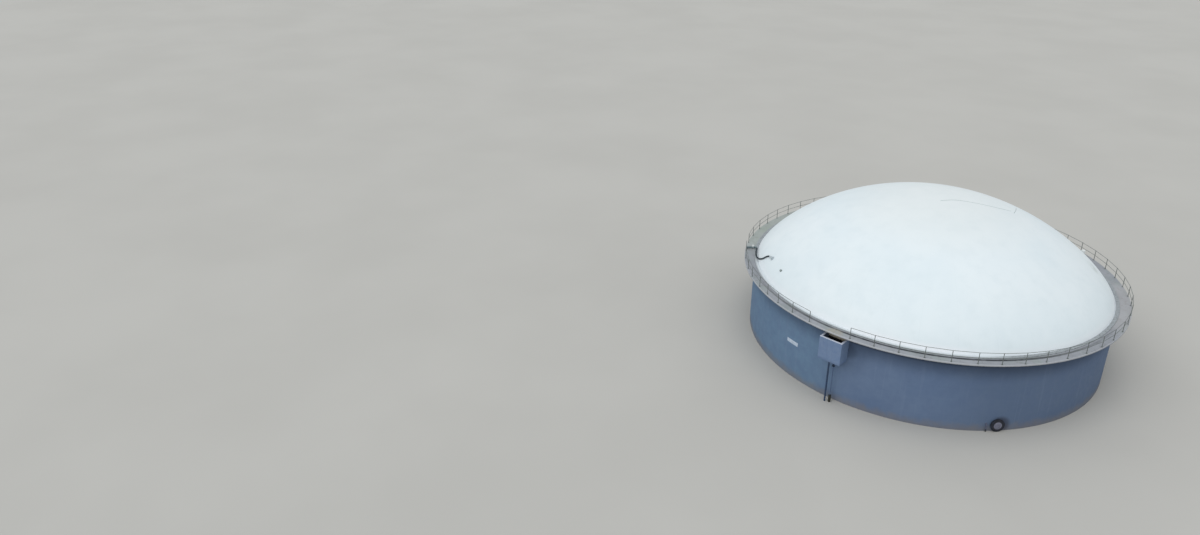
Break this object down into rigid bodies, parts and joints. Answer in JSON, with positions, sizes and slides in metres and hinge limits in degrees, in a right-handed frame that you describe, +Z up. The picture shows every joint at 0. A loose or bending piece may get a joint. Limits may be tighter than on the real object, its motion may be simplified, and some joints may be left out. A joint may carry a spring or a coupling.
{
  "type": "biogas digester",
  "caption": "Round concrete biogas digester with a railed walkway, a low fabric gas dome, an overflow box with pipes, a manhole and a gas line.",
  "frame": {"origin": "on the ground, on the axis of the tank", "axes": "+Z up along the axis of the tank; the overflow box faces -Y"},
  "size_m": [30.56, 30.768, 12.6103],
  "materials": {
    "floor_concrete": "bare concrete",
    "wall_paint": "matt masonry paint on concrete, rain-streaked and dusty",
    "walkway_concrete": "bare weathered concrete",
    "galvanised": "dull galvanised tube",
    "membrane": "coated polyester membrane, satin, slightly dusty",
    "clamp_metal": "dull galvanised clamp strip",
    "spigot_paint": "weathered grey paint",
    "port_paint": "dull dark grey",
    "white_paint": "white paint",
    "gas_pipe_paint": "weathered dark paint",
    "hose_fabric": "dark rubberised hose",
    "box_paint": "matt masonry paint on concrete",
    "dark_pipe_paint": "dark blue paint",
    "rusted_steel": "dark rusty iron",
    "plate_paint": "pale paint, blank",
    "manhole_paint": "dark paint",
    "cover_paint": "grey paint, dusty"
  },
  "bodies": {
    "root": {"floor_slab": "floor_concrete", "wall_1": "wall_paint", "walkway_1": "walkway_concrete", "wall_2": "wall_paint", "walkway_2": "walkway_concrete", "wall_3": "wall_paint", "walkway_3": "walkway_concrete", "wall_4": "wall_paint", "walkway_4": "walkway_concrete", "wall_5": "wall_paint", "walkway_5": "walkway_concrete", "wall_6": "wall_paint", "walkway_6": "walkway_concrete", "wall_7": "wall_paint", "walkway_7": "walkway_concrete", "wall_8": "wall_paint", "walkway_8": "walkway_concrete", "railing_1": "galvanised", "railing_2": "galvanised", "railing_3": "galvanised", "railing_4": "galvanised", "railing_5": "galvanised", "railing_6": "galvanised", "railing_7": "galvanised", "railing_8": "galvanised", "membrane_dome": "membrane", "clamp_ring": "clamp_metal", "gas_spigot": "spigot_paint", "dome_port": "port_paint", "vent": "white_paint", "gas_pipe": "gas_pipe_paint", "gas_valve": "white_paint", "gas_hose": "hose_fabric", "overflow_box": "box_paint", "overflow_pipe": "dark_pipe_paint", "drain_pipe": "dark_pipe_paint", "drain_socket": "rusted_steel", "name_plate": "plate_paint", "manhole_neck": "manhole_paint", "manhole_cover": "cover_paint", "foot_pipe": "dark_pipe_paint"}
  },
  "joints": []
}
